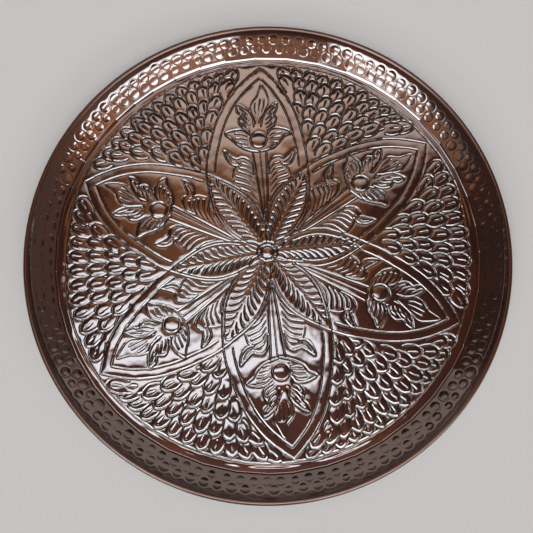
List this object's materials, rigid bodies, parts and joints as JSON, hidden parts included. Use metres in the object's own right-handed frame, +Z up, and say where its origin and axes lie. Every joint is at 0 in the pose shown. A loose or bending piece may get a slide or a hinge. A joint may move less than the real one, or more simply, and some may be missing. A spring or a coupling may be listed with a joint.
{
  "type": "round serving tray",
  "caption": "Round copper serving tray with a hammered sloping wall, a chased petal-and-scale floor and an edge rolled over wire.",
  "frame": {"origin": "centre of the underside, on the surface that the tray rests on", "axes": "+Z up out of the tray; +X and +Y level, with one petal of the star on +Y"},
  "size_m": [0.3999, 0.4, 0.0199],
  "materials": {
    "copper_sheet": "antiqued copper, polished on the high spots, under a clear glossy lacquer",
    "steel_wire": "drawn mild steel wire, dull"
  },
  "bodies": {
    "root": {"tray_sheet": "copper_sheet", "rim_wire": "steel_wire"}
  },
  "joints": []
}
